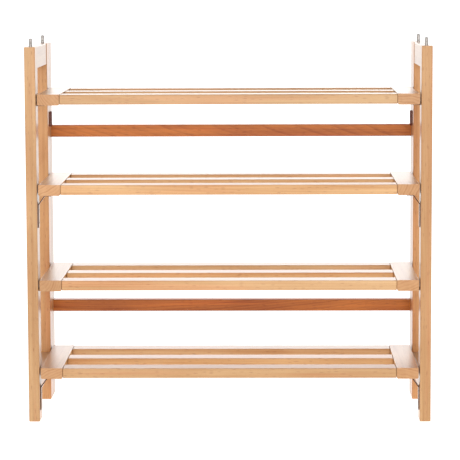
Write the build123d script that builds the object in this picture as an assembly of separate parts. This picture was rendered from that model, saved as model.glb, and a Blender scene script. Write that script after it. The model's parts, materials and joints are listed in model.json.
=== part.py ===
from build123d import *
import os

# Folding, stacking shoe rack in beech: two ladder-like side frames hinged to a back frame,
# and four slatted shelves that lift off their supports.
# Frame: millimetres, +Z up, front towards -Y, origin on the floor under the middle of the rack.

# ---- driving dimensions -------------------------------------------------------------------
WIDTH = 740.0               # across the outer faces of the side frames
POST_HEIGHT = 690.0
STOCK_WIDE = 40.0           # posts, uprights and end boards share one sawn section, 40 x 20
STOCK_THIN = 20.0
SIDE_FRAME_DEPTH = 248.0    # front of a front post to back of a rear post
EDGE_EASE = 1.2             # rounding of the sanded long edges
FOOT_CHAMFER = 1.0

SHELF_TOPS = {"top_shelf": 604.0, "upper_shelf": 439.0, "lower_shelf": 263.0, "bottom_shelf": 100.0}
BRACKETED_SHELVES = ("upper_shelf", "bottom_shelf")  # on a bracket in front and a peg behind
SHELF_SIDE_GAP = 2.5        # between a shelf's end and the posts
SHELF_DEPTH = 244.0
SLAT_THICK = 18.0
SLAT_INSET = 0.5            # slat tops sit this far below the end boards' tops
SLAT_NAMES = ("front_slat", "middle_slat", "rear_slat")
TENON_LENGTH = 16.0
TENON_SHOULDER = 4.0        # step round each tenon
SHOULDER_GAP = 0.6          # open joint line between a slat's shoulder and the end board
SHOULDER_BEVEL = 0.8
END_BOARD_ROUND = 3.0       # rounded lower long edges of an end board
END_BOARD_EASE = 0.6        # its upper long edges

TOP_RAIL_HEIGHT = 40.0
LOWER_RAIL_TOP = 92.5
SIDE_RAIL_THICK = 18.0      # centred on the posts, so it sits 1 mm back from their faces
BACK_RAIL_TOPS = {"upper_back_rail": 529.5, "lower_back_rail": 186.5}
BACK_RAIL_HEIGHT = 23.0

DOWEL_RADIUS = 3.0
DOWEL_HALF = 14.0           # depth of a dowel on each side of its joint
DOWEL_OFFSET = 11.0         # a pair of dowels stands this far either side of the rail's middle

STACK_PIN_RADIUS = 3.0
STACK_SHANK_RADIUS = 2.8    # the part driven into the post, a little thinner than the free stud
STACK_PIN_OUT = 15.0
STACK_PIN_IN = 20.0
STACK_PIN_TIP = 1.0
SOCKET_RADIUS = 3.2
SOCKET_DEPTH = 18.0

SHELF_PIN_RADIUS = 3.5
SHELF_PIN_IN = 12.0
SHELF_PIN_OUT = 14.0
SHELF_PIN_RISE = 1.5        # pin axis above the underside of the shelf
NOTCH_CLEARANCE = 0.4
NOTCH_RUN_OUT = 1.0         # the notch is cut this far past the end board's end

PLATE_THICK = 1.8           # sheet of the brackets and the hinge leaves
BRACKET_WIDTH = 18.0
BRACKET_LEG = 42.0          # upright leg, flat on the post
BRACKET_DROP = 18.0         # top of that leg below the shelf's underside
BRACKET_REACH = 13.0        # how far the slanted leg comes in from the post
BRACKET_LEDGE = 12.0        # level leg under the end board
REST_GAP = 0.2
BRACKET_SCREW_HEIGHTS = (9.0, 33.0)

HINGE_HEIGHT = 28.0
HINGE_LEAF = 16.0
HINGE_CORNER = 5.0
HINGE_BASES = {"upper": 529.0, "lower": 208.0}
KNUCKLE_RADIUS = 2.1
KNUCKLE_GAP = 0.2
HINGE_PIN_RADIUS = 1.1
HINGE_CAP_RADIUS = 1.5
HINGE_CAP_HEIGHT = 0.8
HINGE_SCREW_INSET = 7.5     # from each end of the leaf
HINGE_SCREW_OUT = 9.6       # from the hinge line

SCREW_HEAD_RADIUS = 3.4
SCREW_HEAD_HEIGHT = 1.8
SCREW_SHANK_RADIUS = 1.6
SCREW_LENGTH = 14.0
RECESS_LONG = 3.6
RECESS_WIDE = 0.8
RECESS_DEEP = 0.9

# ---- derived places -----------------------------------------------------------------------
OUTER_X = WIDTH / 2
INNER_X = OUTER_X - STOCK_THIN
POST_X = OUTER_X - STOCK_THIN / 2
TOTAL_DEPTH = SIDE_FRAME_DEPTH + STOCK_WIDE
FRONT_Y = -TOTAL_DEPTH / 2
SEAM_Y = FRONT_Y + SIDE_FRAME_DEPTH
BACK_Y = TOTAL_DEPTH / 2
FRONT_POST_Y = FRONT_Y + STOCK_WIDE / 2
REAR_POST_Y = SEAM_Y - STOCK_WIDE / 2
UPRIGHT_Y = SEAM_Y + STOCK_WIDE / 2
TOP_RAIL_Z = POST_HEIGHT - TOP_RAIL_HEIGHT / 2
LOWER_RAIL_Z = LOWER_RAIL_TOP - STOCK_WIDE / 2
BACK_RAIL_Y = BACK_Y - STOCK_THIN / 2
SHELF_END_X = INNER_X - SHELF_SIDE_GAP
SHOULDER_X = SHELF_END_X - STOCK_WIDE - SHOULDER_GAP
SLAT_PITCH = (SHELF_DEPTH - STOCK_WIDE) / (len(SLAT_NAMES) - 1)
KNUCKLE_X = INNER_X - KNUCKLE_RADIUS

os.makedirs("parts", exist_ok=True)


def save(name, shapes):
    """Write one node; several separate solids go in as one group."""
    solids = shapes if isinstance(shapes, list) else [shapes]
    solids = [solid for shape in solids for solid in shape.solids()]
    export_step(solids[0] if len(solids) == 1 else Compound(solids), f"parts/{name}.step")


def on_side(side, shape):
    """Shapes are drawn on the right (+X) side; the left one is their mirror image."""
    return shape if side == "right" else mirror(shape, about=Plane.YZ)


def board(size, centre, along, ease=EDGE_EASE):
    """A sawn board with its four long edges rounded."""
    blank = Box(*size)
    return Pos(*centre) * fillet(blank.edges().filter_by(along), ease)


def rod_x(radius, x_from, x_to, y, z):
    """A round bar along X."""
    middle = (x_from + x_to) / 2
    return Pos(middle, y, z) * Rot(0, 90, 0) * Cylinder(radius, abs(x_to - x_from))


def rod_y(radius, y_from, y_to, x, z):
    """A round bar along Y."""
    middle = (y_from + y_to) / 2
    return Pos(x, middle, z) * Rot(90, 0, 0) * Cylinder(radius, abs(y_to - y_from))


def rod_z(radius, z_from, z_to, x, y):
    """A round bar along Z."""
    return Pos(x, y, (z_from + z_to) / 2) * Cylinder(radius, z_to - z_from)


# ---- dowels, pins and sockets -------------------------------------------------------------
def frame_dowels():
    """Two dowels at each end of the top and lower rails of a side frame."""
    dowels = []
    for rail_z in (TOP_RAIL_Z, LOWER_RAIL_Z):
        for joint_y in (FRONT_Y + STOCK_WIDE, SEAM_Y - STOCK_WIDE):
            for offset in (-DOWEL_OFFSET, DOWEL_OFFSET):
                z = rail_z + offset
                dowels.append(rod_y(DOWEL_RADIUS, joint_y - DOWEL_HALF, joint_y + DOWEL_HALF, POST_X, z))
    return dowels


def back_rail_dowels():
    """One dowel in each end of each back rail, on both sides."""
    dowels = []
    for top in BACK_RAIL_TOPS.values():
        z = top - BACK_RAIL_HEIGHT / 2
        for sign in (-1, 1):
            inner = sign * (INNER_X - DOWEL_HALF)
            outer = sign * (INNER_X + DOWEL_HALF)
            dowels.append(rod_x(DOWEL_RADIUS, inner, outer, BACK_RAIL_Y, z))
    return dowels


def stacking_shank(y):
    """The buried part of a stacking pin, and the hole that it fills."""
    return rod_z(STACK_SHANK_RADIUS, POST_HEIGHT - STACK_PIN_IN, POST_HEIGHT, POST_X, y)


def stacking_pin(y):
    """Steel pin standing out of a post's top, with a bevelled tip."""
    stud = rod_z(STACK_PIN_RADIUS, POST_HEIGHT, POST_HEIGHT + STACK_PIN_OUT, POST_X, y)
    stud = chamfer(stud.edges().group_by(Axis.Z)[-1], STACK_PIN_TIP)
    return stud + stacking_shank(y)


def shelf_pin_z(shelf):
    return SHELF_TOPS[shelf] - STOCK_THIN + SHELF_PIN_RISE


def shelf_pin_ys(shelf):
    """The posts on which pegs carry a shelf's end: both, or the rear one behind a bracket."""
    return (REAR_POST_Y,) if shelf in BRACKETED_SHELVES else (FRONT_POST_Y, REAR_POST_Y)


def shelf_pins():
    """The round pegs in one side's posts."""
    pins = []
    free_end = INNER_X - SHELF_PIN_OUT
    buried_end = INNER_X + SHELF_PIN_IN
    for shelf in SHELF_TOPS:
        for y in shelf_pin_ys(shelf):
            pins.append(rod_x(SHELF_PIN_RADIUS, free_end, buried_end, y, shelf_pin_z(shelf)))
    return pins


# ---- screws -------------------------------------------------------------------------------
def screw_blank():
    """A countersunk head on a plain shank, pointing down -Z from a head centred on the origin."""
    head = Cone(SCREW_SHANK_RADIUS, SCREW_HEAD_RADIUS, SCREW_HEAD_HEIGHT)
    shank = Cylinder(SCREW_SHANK_RADIUS, SCREW_LENGTH)
    return head + Pos(0, 0, -(SCREW_HEAD_HEIGHT + SCREW_LENGTH) / 2) * shank


def driven(y, z, shape):
    """A screw shape driven outwards (+X) through a plate on the inner face, its head flush."""
    return Pos(INNER_X - PLATE_THICK + SCREW_HEAD_HEIGHT / 2, y, z) * Rot(0, -90, 0) * shape


def screw(y, z):
    """Countersunk cross-head screw."""
    recess = Box(RECESS_LONG, RECESS_WIDE, RECESS_DEEP) + Box(RECESS_WIDE, RECESS_LONG, RECESS_DEEP)
    recess = Pos(0, 0, (SCREW_HEAD_HEIGHT - RECESS_DEEP) / 2) * recess
    return driven(y, z, screw_blank() - recess)


def hinge_screw_places(leaf):
    """Y and Z of a leaf's screws; leaf is -1 on the post and +1 on the back upright."""
    y = SEAM_Y + leaf * HINGE_SCREW_OUT
    places = []
    for base in HINGE_BASES.values():
        places.append((y, base + HINGE_SCREW_INSET))
        places.append((y, base + HINGE_HEIGHT - HINGE_SCREW_INSET))
    return places


def bracket_base(shelf):
    return SHELF_TOPS[shelf] - STOCK_THIN - BRACKET_DROP - BRACKET_LEG


def bracket_screw_places():
    """Y and Z of the bracket screws in a front post."""
    bases = [bracket_base(shelf) for shelf in BRACKETED_SHELVES]
    return [(FRONT_POST_Y, base + height) for base in bases for height in BRACKET_SCREW_HEIGHTS]


def drilled(shape, places):
    """The shape less the holes, countersinks included, that its screws fill."""
    for y, z in places:
        shape -= driven(y, z, screw_blank())
    return shape


# ---- side frames --------------------------------------------------------------------------
def post(y):
    """A front or rear post with every hole that its pins, dowels and screws need."""
    blank = board((STOCK_THIN, STOCK_WIDE, POST_HEIGHT), (POST_X, y, POST_HEIGHT / 2), Axis.Z)
    blank = chamfer(blank.faces().sort_by(Axis.Z)[0].edges(), FOOT_CHAMFER)
    blank -= stacking_shank(y)
    blank -= rod_z(SOCKET_RADIUS, -SOCKET_DEPTH, SOCKET_DEPTH, POST_X, y)
    for shape in frame_dowels() + shelf_pins():
        blank -= shape
    return drilled(blank, hinge_screw_places(-1) if y == REAR_POST_Y else bracket_screw_places())


def side_rail(z, height):
    """A rail between the front and rear posts, a little thinner than they are."""
    length = SIDE_FRAME_DEPTH - 2 * STOCK_WIDE
    rail = board((SIDE_RAIL_THICK, length, height), (POST_X, (FRONT_Y + SEAM_Y) / 2, z), Axis.Y)
    for dowel in frame_dowels():
        rail -= dowel
    return rail


# ---- shelf brackets -----------------------------------------------------------------------
def bracket(shelf):
    """A bent strap: an upright leg on the front post, a slanted leg, and a ledge under the shelf."""
    base = bracket_base(shelf)
    bend = base + BRACKET_LEG
    ledge = SHELF_TOPS[shelf] - STOCK_THIN - REST_GAP - PLATE_THICK / 2
    inner = INNER_X - PLATE_THICK / 2
    centre_line = Polyline(
        (inner, FRONT_POST_Y, base),
        (inner, FRONT_POST_Y, bend),
        (INNER_X - BRACKET_REACH, FRONT_POST_Y, ledge),
        (INNER_X - BRACKET_REACH - BRACKET_LEDGE, FRONT_POST_Y, ledge),
    )
    foot = Plane(origin=(inner, FRONT_POST_Y, base), z_dir=(0, 0, 1))
    strap = foot * Rectangle(PLATE_THICK, BRACKET_WIDTH)
    bent = sweep(strap, path=centre_line, transition=Transition.RIGHT)
    return drilled(bent, bracket_screw_places())


# ---- hinges -------------------------------------------------------------------------------
def hinge_leaf(base, leaf):
    """One hinge leaf: two knuckles on the post's leaf (-1), one on the back upright's (+1)."""
    middle_y = SEAM_Y + leaf * HINGE_LEAF / 2
    plate = Box(PLATE_THICK, HINGE_LEAF, HINGE_HEIGHT)
    outer_edges = plate.edges().filter_by(Axis.X).sort_by(Axis.Y)
    outer_edges = outer_edges[:2] if leaf < 0 else outer_edges[-2:]
    plate = fillet(outer_edges, HINGE_CORNER)
    plate = Pos(INNER_X - PLATE_THICK / 2, middle_y, base + HINGE_HEIGHT / 2) * plate
    third = HINGE_HEIGHT / 3
    barrel_room = KNUCKLE_RADIUS + KNUCKLE_GAP
    own, others = ((0, 2), (1,)) if leaf < 0 else ((1,), (0, 2))
    for index in others:
        plate -= rod_z(barrel_room, base + index * third, base + (index + 1) * third, KNUCKLE_X, SEAM_Y)
    for index in own:
        low = base + index * third + KNUCKLE_GAP / 2
        high = base + (index + 1) * third - KNUCKLE_GAP / 2
        plate += rod_z(KNUCKLE_RADIUS, low, high, KNUCKLE_X, SEAM_Y)
    plate -= rod_z(HINGE_PIN_RADIUS, base, base + HINGE_HEIGHT, KNUCKLE_X, SEAM_Y)
    return drilled(plate, hinge_screw_places(leaf))


def hinge_pin(base):
    """Pin through the knuckles, with a thin riveted cap at each end."""
    pin = rod_z(HINGE_PIN_RADIUS, base, base + HINGE_HEIGHT, KNUCKLE_X, SEAM_Y)
    for cap_base in (base - HINGE_CAP_HEIGHT, base + HINGE_HEIGHT):
        pin += rod_z(HINGE_CAP_RADIUS, cap_base, cap_base + HINGE_CAP_HEIGHT, KNUCKLE_X, SEAM_Y)
    return pin


# ---- back frame ---------------------------------------------------------------------------
def back_upright():
    """Upright of the back frame; the rear post in front of it hinges on it at the seam."""
    centre = (POST_X, UPRIGHT_Y, POST_HEIGHT / 2)
    blank = board((STOCK_THIN, STOCK_WIDE, POST_HEIGHT), centre, Axis.Z)
    blank = chamfer(blank.faces().sort_by(Axis.Z)[0].edges(), FOOT_CHAMFER)
    for dowel in back_rail_dowels():
        blank -= dowel
    return drilled(blank, hinge_screw_places(1))


def back_rail(top):
    rail = board(
        (2 * INNER_X, STOCK_THIN, BACK_RAIL_HEIGHT),
        (0, BACK_RAIL_Y, top - BACK_RAIL_HEIGHT / 2),
        Axis.X,
    )
    for dowel in back_rail_dowels():
        rail -= dowel
    return rail


# ---- shelves ------------------------------------------------------------------------------
def slat_y(index):
    return FRONT_Y + STOCK_WIDE / 2 + index * SLAT_PITCH


def tenon(shelf, index, sign):
    """The stub tenon on one end of a slat, from its shoulder into the end board."""
    length = SHOULDER_GAP + TENON_LENGTH
    centre_x = SHOULDER_X + length / 2
    centre_z = SHELF_TOPS[shelf] - SLAT_INSET - SLAT_THICK / 2
    size = (length, STOCK_WIDE - 2 * TENON_SHOULDER, SLAT_THICK - 2 * TENON_SHOULDER)
    return Pos(sign * centre_x, slat_y(index), centre_z) * Box(*size)


def slat(shelf, index):
    """A slat with bevelled shoulders and a stub tenon at each end."""
    centre_z = SHELF_TOPS[shelf] - SLAT_INSET - SLAT_THICK / 2
    body = board((2 * SHOULDER_X, STOCK_WIDE, SLAT_THICK), (0, slat_y(index), centre_z), Axis.X)
    ends = body.faces().sort_by(Axis.X)
    body = chamfer(ends[0].edges() + ends[-1].edges(), SHOULDER_BEVEL)
    return body + tenon(shelf, index, -1) + tenon(shelf, index, 1)


def peg_notch(shelf, y):
    """Round-topped notch in an end board's underside that drops over a shelf peg."""
    radius = SHELF_PIN_RADIUS + NOTCH_CLEARANCE
    bottom = SHELF_TOPS[shelf] - STOCK_THIN
    x_from = INNER_X - SHELF_PIN_OUT - NOTCH_CLEARANCE
    length = SHELF_END_X - x_from + NOTCH_RUN_OUT
    mouth = Pos(x_from + length / 2, y, bottom) * Box(length, 2 * radius, 2 * SHELF_PIN_RISE)
    return mouth + rod_x(radius, x_from, x_from + length, y, shelf_pin_z(shelf))


def end_board(shelf):
    """The board across a shelf's right end, mortised for the slats."""
    centre_x = SHELF_END_X - STOCK_WIDE / 2
    centre = (centre_x, FRONT_Y + SHELF_DEPTH / 2, SHELF_TOPS[shelf] - STOCK_THIN / 2)
    blank = Box(STOCK_WIDE, SHELF_DEPTH, STOCK_THIN)
    for row, radius in ((-1, END_BOARD_EASE), (0, END_BOARD_ROUND)):
        blank = fillet(blank.edges().filter_by(Axis.Y).group_by(Axis.Z)[row], radius)
    blank = Pos(*centre) * blank
    for index in range(len(SLAT_NAMES)):
        blank -= tenon(shelf, index, 1)
    for y in shelf_pin_ys(shelf):
        blank -= peg_notch(shelf, y)
    return blank


# ---- write every node ---------------------------------------------------------------------
def write_side(side):
    def put(name, shapes):
        group = shapes if isinstance(shapes, list) else [shapes]
        save(f"{side}_{name}", [on_side(side, shape) for shape in group])

    put("front_post", post(FRONT_POST_Y))
    put("rear_post", post(REAR_POST_Y))
    put("top_rail", side_rail(TOP_RAIL_Z, TOP_RAIL_HEIGHT))
    put("lower_rail", side_rail(LOWER_RAIL_Z, STOCK_WIDE))
    put("frame_dowels", frame_dowels())
    put("stacking_pins", [stacking_pin(FRONT_POST_Y), stacking_pin(REAR_POST_Y)])
    put("shelf_pegs", shelf_pins())
    put("back_upright", back_upright())
    for shelf in BRACKETED_SHELVES:
        put(f"{shelf}_bracket", bracket(shelf))
    put("bracket_screws", [screw(y, z) for y, z in bracket_screw_places()])
    for place, base in HINGE_BASES.items():
        put(f"{place}_hinge_post_leaf", hinge_leaf(base, -1))
        put(f"{place}_hinge_back_leaf", hinge_leaf(base, 1))
    put("hinge_pins", [hinge_pin(base) for base in HINGE_BASES.values()])
    screws = hinge_screw_places(-1) + hinge_screw_places(1)
    put("hinge_screws", [screw(y, z) for y, z in screws])


for side in ("left", "right"):
    write_side(side)

for name, top in BACK_RAIL_TOPS.items():
    save(name, back_rail(top))
save("back_rail_dowels", back_rail_dowels())

for shelf in SHELF_TOPS:
    for side in ("left", "right"):
        save(f"{shelf}_{side}_end_board", on_side(side, end_board(shelf)))
    for index, name in enumerate(SLAT_NAMES):
        save(f"{shelf}_{name}", slat(shelf, index))
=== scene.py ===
import bpy
import json
import math
import random
from mathutils import Matrix, Vector

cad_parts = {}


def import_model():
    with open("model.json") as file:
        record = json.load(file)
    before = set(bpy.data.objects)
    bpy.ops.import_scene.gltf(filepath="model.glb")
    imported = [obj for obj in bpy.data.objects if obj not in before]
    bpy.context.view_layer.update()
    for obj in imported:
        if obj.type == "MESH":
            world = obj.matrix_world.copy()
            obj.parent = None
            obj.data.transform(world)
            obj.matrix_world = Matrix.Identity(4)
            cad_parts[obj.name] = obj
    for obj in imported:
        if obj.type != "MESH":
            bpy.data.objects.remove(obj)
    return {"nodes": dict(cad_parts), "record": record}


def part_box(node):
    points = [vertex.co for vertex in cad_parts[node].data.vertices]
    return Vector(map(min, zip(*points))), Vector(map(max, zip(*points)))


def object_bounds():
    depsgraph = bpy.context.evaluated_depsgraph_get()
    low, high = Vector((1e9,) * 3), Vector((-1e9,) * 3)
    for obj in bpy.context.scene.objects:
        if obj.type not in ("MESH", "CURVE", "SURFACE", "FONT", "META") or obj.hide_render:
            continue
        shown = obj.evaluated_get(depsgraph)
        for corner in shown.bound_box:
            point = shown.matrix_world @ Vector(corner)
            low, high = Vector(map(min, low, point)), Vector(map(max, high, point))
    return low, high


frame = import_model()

# Slatted beech shoe rack. The CAD nodes carry every shape; this script gives each board its own
# piece of procedural beech, finishes the metal, and sets the floor, the light and the camera.
# Metres, radians and watts, +Z up, front towards -Y.

CAD_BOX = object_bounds()
LOW, HIGH = CAD_BOX

# ---- camera -------------------------------------------------------------------------------
CAMERA_SIDE = 0.0710            # to the right of the rack's middle
CAMERA_AHEAD = 3.8268           # in front of the front posts
CAMERA_HEIGHT = 0.8195
CAMERA_YAW = -0.0179            # to the left
CAMERA_PITCH = -0.1075          # a little down
CAMERA_ROLL = -0.0041
CAMERA_LENS_MM = 165.3
CAMERA_SENSOR_MM = 36.0
CAMERA_SHIFT_Y = -0.06

# ---- stage and light ----------------------------------------------------------------------
WHITE = (1.0, 1.0, 1.0)
FLOOR_SIZE = 120.0
FLOOR_COLOUR = (0.55, 0.55, 0.55)
FLOOR_GLOW = 1.00               # lifts the shadows on the pale floor
FLOOR_ROUGHNESS = 0.9
FLOOR_SPECULAR = 0.1
FLOOR_MOTTLE = (0.985, 1.0)     # the floor's darkest and lightest patches
MOTTLE_REPEATS = (3.0, 3.0)
MOTTLE_COMES_IN = (0.3, 0.7)
SKY = 0.46
SIDE_WALLS = 0.55               # extra light from the studio walls to the left and right
BACKDROP = 1.80                 # extra light from the bright wall behind the rack
# where the walls fade in, by one part of the direction looked in
BEHIND = (0.55, 0.90)           # its y
LOW_DOWN = (0.50, 0.25)         # its z
BESIDE = (0.50, 0.85)           # its x, either way
LIGHTS = {
    "key": dict(place=(-1.6, -3.4, 2.0), size=(2.0, 1.2), power=14.0),
    "front": dict(place=(0.3, -7.0, 1.9), size=(4.8, 1.4), power=172.0),
}

# ---- beech: its colours -------------------------------------------------------------------
# each wood: early wood, late wood
POST_WOOD = ((0.516, 0.300, 0.133), (0.349, 0.153, 0.045))
# the rear posts: a redder beech, also painted lighter than the front posts' wood to make up for the shade
# they stand in (painted light)
REAR_POST_WOOD_WITH_PAINTED_LIGHT = ((0.665, 0.350, 0.140), (0.452, 0.176, 0.048))
WOODS = {
    "post_beech": POST_WOOD,
    "shelf_beech": ((0.610, 0.368, 0.170), (0.424, 0.190, 0.057)),
    # the back rails: a redder beech, painted lighter than it is to make up for the shade of the shelves over
    # their fronts (painted light)
    "back_rail_beech": ((0.646, 0.222, 0.041), (0.256, 0.052, 0.006)),
    "dowel_beech": ((0.600, 0.380, 0.210), (0.420, 0.220, 0.100)),
}
PINK_STREAK = (1.03, 0.88, 0.86)
PINK_MOST = 0.85
FLECK_BROWN = (0.55, 0.40, 0.30)
END_TINT = (0.90, 0.80, 0.76)   # end grain drinks in more of the finish
# this seed is picked so that the boards which sit in more shade draw the lighter values: painted light over
# the boards' own random tones
BOARD_SEED = 236937
BOARD_VALUES = (0.88, 1.10)     # the darkest and the lightest board of one wood
BOARD_WARMTH = 0.05             # how much warmer or cooler a board may be

# ---- beech: its grain ---------------------------------------------------------------------
# A pattern's repeats are per metre, along the grain and across it.
RING_WIDTH = 0.0052             # one year's growth
RING_WANDER = 0.012             # how far the rings stray from true circles
WANDER_REPEATS = (2.0, 10.0)
RING_UNEVEN = 2.4               # how many years' width the growth may run ahead
UNEVEN_REPEATS = (0.8, 34.0)
YEAR_STRENGTHS = (0.30, 1.0)    # the faintest and the strongest year
YEAR_PROFILE = ((0.0, 0.0), (0.45, 0.16), (0.84, 1.0), (0.93, 0.85), (1.0, 0.0))
PITH_NEAR = 0.030               # the heart of the log, from the middle of a board
PITH_FAR = 0.150
SLOPE_MOST = 0.035              # how far a board's grain runs out of line
RAIL_SLOPE_MOST = 0.16          # the back rails are cut across the grain's run
SEED_REACH = 9.0                # how far apart in the noise the boards are cut

# each pattern: its repeats, its noise's detail and roughness, the noise values between which it
# comes in, and the darkness that it adds at those two values
PATTERNS = {
    "streak": dict(repeats=(4.0, 330.0), noise=(3.0, 0.6), comes_in=(0.30, 0.72), darkness=(0.0, 0.30)),
    "band": dict(repeats=(2.0, 95.0), noise=(2.0, 0.5), comes_in=(0.30, 0.70), darkness=(0.0, 0.30)),
    "fibre": dict(repeats=(26.0, 1500.0), noise=(3.0, 0.6), comes_in=(0.30, 0.80), darkness=(0.0, 0.16)),
    "tone": dict(repeats=(4.5, 22.0), noise=(2.0, 0.5), comes_in=(0.30, 0.72), darkness=(-0.24, 0.22)),
}
RING_DARKNESS = 0.26
BLUSH_REPEATS = (3.0, 60.0)
BLUSH_COMES_IN = (0.48, 0.72)

FINE_FLECK_REPEATS = (260.0, 1300.0)
FINE_FLECK_BARE = 0.40          # the share of the cells that hold no fleck
FINE_FLECK_STRENGTH = 0.5
LARGE_FLECK_REPEATS = (70.0, 430.0)
LARGE_FLECK_BARE = 0.62
FLECK_CHANCE_FADE = 0.1         # the share of the cells that hold a faint one
FLECK_EDGE = (0.42, 0.12)       # a spot's rim and its full colour, as shares of a cell
FLECK_STRENGTH = 0.50

END_COMES_IN = (0.6, 0.8)       # how squarely a face must cut the grain to show end grain
END_RING_DARKNESS = 0.70
END_BAND_DARKNESS = 0.22
PORE_REPEATS = (1500.0, 1500.0)
PORE_COMES_IN = (0.5, 0.7)
PORE_DARKNESS = (0.06, 0.28)

RUB_REACH = (0.0030, 0.0008)    # from an arris: where the rubbing starts, and where it is full
RUB_TONES = (0.25, 0.7)         # from the lightest patches to the darkest
RUB_BY_TONE = (0.35, 1.0)       # the darkest patches are rubbed most
RUB_STRENGTH = 0.40

# ---- beech: its finish --------------------------------------------------------------------
LACQUER_COAT = 1.0
RAIL_COAT = 0.5                 # the back rails are thinly finished
BARE_SIDE = (0.95, 0.70)        # an end board's sides are bare; its coat fades in between these
LACQUER_COAT_ROUGHNESS = 0.30
LACQUER_IOR = 1.43
UNDER_LACQUER = 0.15            # the wood reflects little of its own through the lacquer
WOOD_ROUGHNESS = 0.34
FIBRE_ROUGHNESS = 0.10
END_ROUGHNESS = 0.14
RUB_POLISH = 0.08
FIBRE_HEIGHT = 0.55
RING_HEIGHT = 0.20
FLECK_DEPTH = 0.25
WOOD_BUMP = dict(Strength=0.5, Distance=0.00025)

# ---- metals -------------------------------------------------------------------------------
# bright and dull are the plating and its blotches; edge is the tint at a glancing view
METALS = {
    "pin_steel": dict(bright=(0.42, 0.39, 0.37), dull=(0.24, 0.22, 0.20), roughness=0.30),
    "peg_steel": dict(bright=(0.16, 0.10, 0.08), dull=(0.09, 0.05, 0.04), roughness=0.42,
                      scratch=0.10, metallic=0.7),
    "bronze_bracket": dict(bright=(0.120, 0.062, 0.042), dull=(0.065, 0.034, 0.024), roughness=0.18,
                           scratch=0.04, edge=(1.0, 0.86, 0.77)),
    "bracket_screw_steel": dict(bright=(0.26, 0.21, 0.17), dull=(0.14, 0.11, 0.09), roughness=0.28),
    "bronze_hinge": dict(bright=(0.200, 0.056, 0.034), dull=(0.100, 0.030, 0.018), roughness=0.55,
                         scratch=0.12, metallic=0.0, edge=(0.42, 0.25, 0.18)),
    "bronze_screw": dict(bright=(0.16, 0.095, 0.06), dull=(0.08, 0.05, 0.03), roughness=0.36,
                         scratch=0.12, metallic=0.8),
}
BLOTCH_REPEATS = (260.0, 260.0)
SCRATCH_REPEATS = (5000.0, 900.0)
GRIT_REPEATS = (2600.0, 2600.0)
BLOTCH_COLOUR_COMES_IN = (0.35, 0.70)
BLOTCH_ROUGHNESS_COMES_IN = (0.3, 0.7)
SMOOTHER = 0.06                 # roughness off the bright plating
ROUGHER = 0.08                  # roughness onto the blotches
SCRATCH_HEIGHT = 0.4
GRIT_HEIGHT = 0.6
METAL_BUMP = dict(Strength=0.25, Distance=0.00006)
METAL_SPECULAR = 0.5
LACQUERED_METAL_SPECULAR = 0.2  # of the metals that are not metallic at their surface


# ---- small node helpers -------------------------------------------------------------------
class Nodes:
    """A thin wrapper that adds nodes to one tree and links them as they are made."""

    def __init__(self, tree):
        self.tree = tree

    def add(self, kind, inputs=(), **settings):
        made = self.tree.nodes.new(kind)
        for key, value in settings.items():
            setattr(made, key, value)
        pairs = inputs.items() if isinstance(inputs, dict) else enumerate(inputs)
        for key, value in pairs:
            self.put(made.inputs[key], value)
        return made

    def put(self, socket, value):
        if isinstance(value, bpy.types.NodeSocket):
            self.tree.links.new(value, socket)
        else:
            socket.default_value = value

    def math(self, operation, *values, clamp=False):
        return self.add("ShaderNodeMath", values, operation=operation, use_clamp=clamp).outputs[0]

    def total(self, first, *others):
        """The sum of all the values, kept between 0 and 1."""
        for value in others[:-1]:
            first = self.math("ADD", first, value)
        return self.math("ADD", first, others[-1], clamp=True)

    def vector(self, operation, *values):
        made = self.add("ShaderNodeVectorMath", values, operation=operation)
        return made.outputs["Vector"]

    def scaled(self, vector, factor):
        inputs = {0: vector, "Scale": factor}
        return self.add("ShaderNodeVectorMath", inputs, operation="SCALE").outputs["Vector"]

    def length(self, vector):
        return self.add("ShaderNodeVectorMath", [vector], operation="LENGTH").outputs["Value"]

    def parts(self, vector):
        return self.add("ShaderNodeSeparateXYZ", [vector]).outputs

    def stretched(self, place, repeats):
        along, across = repeats
        return self.vector("MULTIPLY", place, (along, across, across))

    def noise(self, place, repeats, detail=2.0, roughness=0.5, output="Fac"):
        inputs = {"Vector": self.stretched(place, repeats), "Scale": 1.0, "Detail": detail,
                  "Roughness": roughness}
        return self.add("ShaderNodeTexNoise", inputs).outputs[output]

    def step(self, value, comes_in, goes_to=(0.0, 1.0)):
        """A smooth step, from goes_to's first value to its second over the range comes_in."""
        inputs = {"Value": value, "From Min": comes_in[0], "From Max": comes_in[1],
                  "To Min": goes_to[0], "To Max": goes_to[1]}
        made = self.add("ShaderNodeMapRange", inputs, interpolation_type="SMOOTHSTEP")
        return made.outputs["Result"]

    def mix(self, factor, first, second, blend="MIX"):
        made = self.add("ShaderNodeMix", data_type="RGBA", blend_type=blend)
        self.put(made.inputs[0], factor)
        self.put(made.inputs[6], first)
        self.put(made.inputs[7], second)
        return made.outputs[2]

    def tinted(self, colour, tint):
        return self.mix(1.0, colour, rgba(tint), "MULTIPLY")

    def profile(self, value, stops):
        """A curve of straight runs through stops, which are pairs of place and height."""
        made = self.add("ShaderNodeValToRGB", {"Fac": value})
        band = made.color_ramp
        while len(band.elements) < len(stops):
            band.elements.new(1.0)
        for element, (place, height) in zip(band.elements, stops):
            element.position = place
            element.color = rgba((height, height, height))
        return made.outputs["Color"]


def rgba(colour):
    return (*colour, 1.0)


def new_material(name):
    made = bpy.data.materials.new(name)
    made.use_nodes = True
    n = Nodes(made.node_tree)
    n.tree.nodes.clear()
    return made, n


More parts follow.
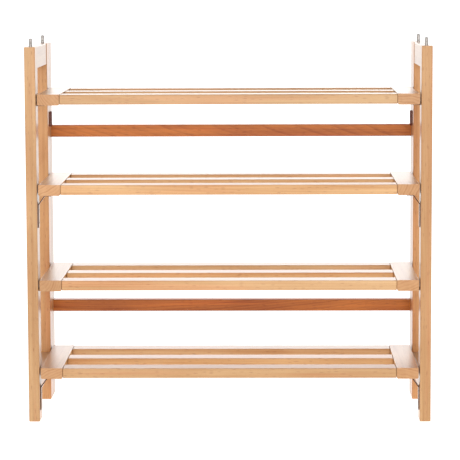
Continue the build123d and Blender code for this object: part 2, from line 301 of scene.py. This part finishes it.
# ---- the beech group ----------------------------------------------------------------------
def growth_rings(n, given, shifted):
    """Dark late-wood lines round a pith outside the board; each year has its own strength."""
    wander = n.noise(shifted, WANDER_REPEATS, output="Color")
    wander = n.scaled(n.vector("SUBTRACT", wander, (0.5, 0.5, 0.5)), RING_WANDER)
    drift = n.scaled(given["Slope"], n.parts(given["Place"])[0])
    bent_place = n.vector("ADD", n.vector("ADD", given["Place"], wander), drift)
    from_pith = n.vector("SUBTRACT", bent_place, given["Pith"])
    radius = n.length(n.vector("MULTIPLY", from_pith, (0.0, 1.0, 1.0)))
    uneven = n.math("MULTIPLY", n.noise(shifted, UNEVEN_REPEATS, 1.0), RING_UNEVEN)
    years = n.math("ADD", n.math("DIVIDE", radius, RING_WIDTH), uneven)
    year = n.add("ShaderNodeTexWhiteNoise", {"W": n.math("FLOOR", years)}, noise_dimensions="1D")
    strength = n.step(year.outputs["Value"], (0.0, 1.0), YEAR_STRENGTHS)
    return n.math("MULTIPLY", n.profile(n.math("FRACT", years), YEAR_PROFILE), strength)


def flecks(n, shifted, repeats, bare_share):
    """Short brown ray flecks: one small spot in some of the cells of a stretched Voronoi."""
    cells = n.add("ShaderNodeTexVoronoi", {"Vector": n.stretched(shifted, repeats), "Scale": 1.0})
    spot = n.step(cells.outputs["Distance"], FLECK_EDGE)
    chance = n.add("ShaderNodeSeparateColor", {"Color": cells.outputs["Color"]}).outputs[0]
    return n.math("MULTIPLY", spot, n.step(chance, (bare_share, bare_share + FLECK_CHANCE_FADE)))


def long_grain(n, given, shifted, ring, noises, fleck):
    """The colour of a face along the grain: streaked, blushed pink in places, and flecked."""
    shades = [n.step(noises[name], p["comes_in"], p["darkness"]) for name, p in PATTERNS.items()]
    darkness = n.total(n.math("MULTIPLY", ring, RING_DARKNESS), *shades)
    colour = n.mix(darkness, given["Light"], given["Dark"])
    blush = n.step(n.noise(shifted, BLUSH_REPEATS), BLUSH_COMES_IN, (0.0, PINK_MOST))
    colour = n.mix(blush, colour, n.tinted(colour, PINK_STREAK))
    return n.mix(n.math("MULTIPLY", fleck, FLECK_STRENGTH), colour, n.tinted(colour, FLECK_BROWN))


def end_grain(n, given, shifted, ring, band):
    """The colour of a face across the grain: the rings cut through, and open pores."""
    rings = n.math("MULTIPLY", ring, END_RING_DARKNESS)
    pores = n.step(n.noise(shifted, PORE_REPEATS), PORE_COMES_IN, PORE_DARKNESS)
    bands = n.step(band, PATTERNS["band"]["comes_in"], (0.0, END_BAND_DARKNESS))
    return n.tinted(n.mix(n.total(rings, pores, bands), given["Light"], given["Dark"]), END_TINT)


def rubbed_edges(n, given, tone, end):
    """How far the finish is rubbed by hands, near the long arrises only."""
    inset = n.parts(n.vector("SUBTRACT", given["Half"], n.vector("ABSOLUTE", given["Place"])))
    from_arris = n.math("MAXIMUM", inset[1], inset[2])
    rub = n.math("MULTIPLY", n.step(from_arris, RUB_REACH), n.step(tone, RUB_TONES, RUB_BY_TONE))
    return n.math("MULTIPLY", rub, n.math("SUBTRACT", 1.0, end))


def beech_group():
    """Beech seen from its own board: x along the grain, y and z across it, in metres."""
    group = bpy.data.node_groups.new("beech", "ShaderNodeTree")
    for name in ("Place", "Normal", "Half", "Pith", "Slope", "Seed"):
        group.interface.new_socket(name, in_out="INPUT", socket_type="NodeSocketVector")
    for name in ("Light", "Dark"):
        group.interface.new_socket(name, in_out="INPUT", socket_type="NodeSocketColor")
    group.interface.new_socket("Colour", in_out="OUTPUT", socket_type="NodeSocketColor")
    for name in ("Roughness", "Height"):
        group.interface.new_socket(name, in_out="OUTPUT", socket_type="NodeSocketFloat")
    n = Nodes(group)
    given = n.add("NodeGroupInput").outputs
    shifted = n.vector("ADD", given["Place"], given["Seed"])

    ring = growth_rings(n, given, shifted)
    noises = {name: n.noise(shifted, p["repeats"], *p["noise"]) for name, p in PATTERNS.items()}
    fine = n.math("MULTIPLY", flecks(n, shifted, FINE_FLECK_REPEATS, FINE_FLECK_BARE), FINE_FLECK_STRENGTH)
    fleck = n.math("MAXIMUM", fine, flecks(n, shifted, LARGE_FLECK_REPEATS, LARGE_FLECK_BARE))
    end = n.step(n.math("ABSOLUTE", n.parts(given["Normal"])[0]), END_COMES_IN)
    rub = rubbed_edges(n, given, noises["tone"], end)

    along = long_grain(n, given, shifted, ring, noises, fleck)
    across = end_grain(n, given, shifted, ring, noises["band"])
    colour = n.mix(n.math("MULTIPLY", rub, RUB_STRENGTH), n.mix(end, along, across), given["Dark"])

    rough = n.math("ADD", WOOD_ROUGHNESS, n.math("MULTIPLY", noises["fibre"], FIBRE_ROUGHNESS))
    rough = n.math("ADD", rough, n.math("MULTIPLY", end, END_ROUGHNESS))
    rough = n.math("SUBTRACT", rough, n.math("MULTIPLY", rub, RUB_POLISH))
    fibres = n.math("MULTIPLY", noises["fibre"], FIBRE_HEIGHT)
    height = n.math("ADD", fibres, n.math("MULTIPLY", ring, RING_HEIGHT))
    height = n.math("SUBTRACT", height, n.math("MULTIPLY", fleck, FLECK_DEPTH))
    n.add("NodeGroupOutput", {"Colour": colour, "Roughness": rough, "Height": height})
    return group


# ---- one board's beech --------------------------------------------------------------------
GRAIN_FIRST = {"X": (0, 1, 2), "Y": (1, 0, 2), "Z": (2, 0, 1)}


def grain_of(node):
    if node.endswith(("post", "upright")):
        return "Z"
    if node.endswith(("top_rail", "lower_rail", "end_board", "frame_dowels")):
        return "Y"
    return "X"


def turned(n, vector, grain):
    """The vector with its component along the grain first."""
    parts = n.parts(vector)
    return n.add("ShaderNodeCombineXYZ", [parts[i] for i in GRAIN_FIRST[grain]]).outputs[0]


def beech(node, group, wood, draw):
    """The beech of one board, cut from its own place in its own log."""
    is_back_rail = node.endswith("back_rail")
    slope_most = RAIL_SLOPE_MOST if is_back_rail else SLOPE_MOST
    grain = grain_of(node)
    low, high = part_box(node)
    half = (high - low) / 2
    angle = draw.uniform(0, 2 * math.pi)
    reach = draw.uniform(PITH_NEAR, PITH_FAR)
    slope = [draw.uniform(-slope_most, slope_most) for _ in range(2)]
    seed = [draw.uniform(-SEED_REACH, SEED_REACH) for _ in range(3)]
    # with the chosen seed, the boards in more shade draw the lighter values here: painted light
    value = draw.uniform(*BOARD_VALUES)
    warmth = draw.uniform(-BOARD_WARMTH, BOARD_WARMTH)
    tint = (value * (1 + warmth / 2), value, value * (1 - warmth))
    light, dark = (rgba([c * t for c, t in zip(colour, tint)]) for colour in wood)

    made, n = new_material(f"beech_{node}")
    coords = n.add("ShaderNodeTexCoord").outputs
    from_middle = n.vector("SUBTRACT", coords["Object"], tuple((low + high) / 2))
    board = n.add("ShaderNodeGroup", node_tree=group)
    given = {
        "Place": turned(n, from_middle, grain), "Normal": turned(n, coords["Normal"], grain),
        "Half": tuple(half[i] for i in GRAIN_FIRST[grain]),
        "Pith": (0.0, reach * math.cos(angle), reach * math.sin(angle)),
        "Slope": (0.0, *slope), "Seed": tuple(seed), "Light": light, "Dark": dark,
    }
    for name, value in given.items():
        n.put(board.inputs[name], value)
    bump = n.add("ShaderNodeBump", {**WOOD_BUMP, "Height": board.outputs["Height"]})
    shader = n.add("ShaderNodeBsdfPrincipled", {
        "Base Color": board.outputs["Colour"], "Roughness": board.outputs["Roughness"],
        "Normal": bump.outputs[0], "Specular IOR Level": UNDER_LACQUER,
        "Coat Weight": RAIL_COAT if is_back_rail else LACQUER_COAT,
        "Coat Roughness": LACQUER_COAT_ROUGHNESS, "Coat IOR": LACQUER_IOR,
    })
    if node.endswith("end_board"):
        sideways = n.math("ABSOLUTE", n.parts(coords["Normal"])[0])
        n.put(shader.inputs["Coat Weight"], n.step(sideways, BARE_SIDE, (0.0, LACQUER_COAT)))
    n.add("ShaderNodeOutputMaterial", {"Surface": shader.outputs[0]})
    return made


# ---- metals -------------------------------------------------------------------------------
def metal(name, bright, dull, roughness, scratch=0.15, metallic=1.0, edge=WHITE):
    """Plated or bronzed steel: blotched plating, fine scratches, duller in the blotches."""
    made, n = new_material(name)
    place = n.add("ShaderNodeTexCoord").outputs["Object"]
    blotch = n.noise(place, BLOTCH_REPEATS, 4.0, 0.6)
    scratches = n.noise(place, SCRATCH_REPEATS)
    grit = n.noise(place, GRIT_REPEATS, 1.0)
    colour = n.mix(n.step(blotch, BLOTCH_COLOUR_COMES_IN), rgba(bright), rgba(dull))
    rough = n.step(blotch, BLOTCH_ROUGHNESS_COMES_IN, (roughness - SMOOTHER, roughness + ROUGHER))
    rough = n.math("ADD", rough, n.math("MULTIPLY", scratches, scratch))
    height = n.math("ADD", n.math("MULTIPLY", scratches, SCRATCH_HEIGHT),
                    n.math("MULTIPLY", grit, GRIT_HEIGHT))
    bump = n.add("ShaderNodeBump", {**METAL_BUMP, "Height": height})
    shader = n.add("ShaderNodeBsdfPrincipled", {
        "Base Color": colour, "Metallic": metallic, "Roughness": rough, "Normal": bump.outputs[0],
        "Specular IOR Level": METAL_SPECULAR if metallic else LACQUERED_METAL_SPECULAR,
        "Specular Tint": rgba(edge),
    })
    n.add("ShaderNodeOutputMaterial", {"Surface": shader.outputs[0]})
    return made


# ---- dress every node ---------------------------------------------------------------------
def dress_all():
    group = beech_group()
    metals = {slot: metal(slot, **look) for slot, look in METALS.items()}
    draw = random.Random(BOARD_SEED)
    slots = {part["node"]: part["material_slot"] for part in frame["record"]["subparts"]}
    for node in sorted(slots):
        slot = slots[node]
        if slot in metals:
            material = metals[slot]
        else:
            # the rear posts take their redder beech, painted lighter against their shade
            wood = REAR_POST_WOOD_WITH_PAINTED_LIGHT if node.endswith("rear_post") else WOODS[slot]
            material = beech(node, group, wood, draw)
        data = frame["nodes"][node].data
        data.materials.clear()
        data.materials.append(material)


# ---- stage, light, camera -----------------------------------------------------------------
def floor():
    mesh = bpy.data.meshes.new("floor")
    reach = FLOOR_SIZE / 2
    corners = [(-reach, -reach), (reach, -reach), (reach, reach), (-reach, reach)]
    mesh.from_pydata([(x, y, LOW.z) for x, y in corners], [], [(0, 1, 2, 3)])
    made = bpy.data.objects.new("floor", mesh)
    bpy.context.scene.collection.objects.link(made)
    material, n = new_material("pale_floor")
    place = n.add("ShaderNodeTexCoord").outputs["Object"]
    mottle = n.step(n.noise(place, MOTTLE_REPEATS, 3.0), MOTTLE_COMES_IN, FLOOR_MOTTLE)
    shader = n.add("ShaderNodeBsdfPrincipled", {
        "Base Color": n.mix(1.0, rgba(FLOOR_COLOUR), mottle, "MULTIPLY"), "Roughness": FLOOR_ROUGHNESS,
        "Specular IOR Level": FLOOR_SPECULAR, "Emission Color": rgba(WHITE), "Emission Strength": FLOOR_GLOW,
    })
    n.add("ShaderNodeOutputMaterial", {"Surface": shader.outputs[0]})
    mesh.materials.append(material)


def world():
    """An even white studio with a bright wall low behind the rack and lighter walls beside it."""
    made = bpy.data.worlds.new("studio")
    made.use_nodes = True
    n = Nodes(made.node_tree)
    n.tree.nodes.clear()
    way = n.parts(n.add("ShaderNodeTexCoord").outputs["Generated"])
    wall = n.math("MULTIPLY", n.step(way[1], BEHIND), n.step(way[2], LOW_DOWN))
    sides = n.step(n.math("ABSOLUTE", way[0]), BESIDE)
    walls = n.math("ADD", n.math("MULTIPLY", wall, BACKDROP), n.math("MULTIPLY", sides, SIDE_WALLS))
    glow = n.add("ShaderNodeBackground", {"Color": rgba(WHITE), "Strength": n.math("ADD", walls, SKY)})
    n.add("ShaderNodeOutputWorld", {"Surface": glow.outputs[0]})
    bpy.context.scene.world = made


def soft_light(name, place, size, power):
    """A rectangular light that faces the middle of the rack."""
    data = bpy.data.lights.new(name, "AREA")
    data.shape = "RECTANGLE"
    data.size, data.size_y = size
    data.energy = power
    made = bpy.data.objects.new(name, data)
    made.location = place
    made.rotation_mode = "QUATERNION"
    made.rotation_quaternion = (Vector(place) - (LOW + HIGH) / 2).to_track_quat("Z", "Y")
    bpy.context.scene.collection.objects.link(made)


def camera():
    data = bpy.data.cameras.new("camera")
    data.sensor_width = CAMERA_SENSOR_MM
    data.lens = CAMERA_LENS_MM
    data.shift_y = CAMERA_SHIFT_Y
    data.clip_end = 2 * FLOOR_SIZE
    made = bpy.data.objects.new("camera", data)
    turn = Matrix.Rotation(-CAMERA_YAW, 4, "Z") @ Matrix.Rotation(math.pi / 2 + CAMERA_PITCH, 4, "X")
    turn = turn @ Matrix.Rotation(CAMERA_ROLL, 4, "Z")
    made.matrix_world = Matrix.Translation((CAMERA_SIDE, LOW.y - CAMERA_AHEAD, CAMERA_HEIGHT)) @ turn
    bpy.context.scene.collection.objects.link(made)
    bpy.context.scene.camera = made


dress_all()
floor()
world()
for name, light in LIGHTS.items():
    soft_light(name, **light)
camera()
bpy.context.scene.view_settings.view_transform = "Standard"
bpy.context.view_layer.update()
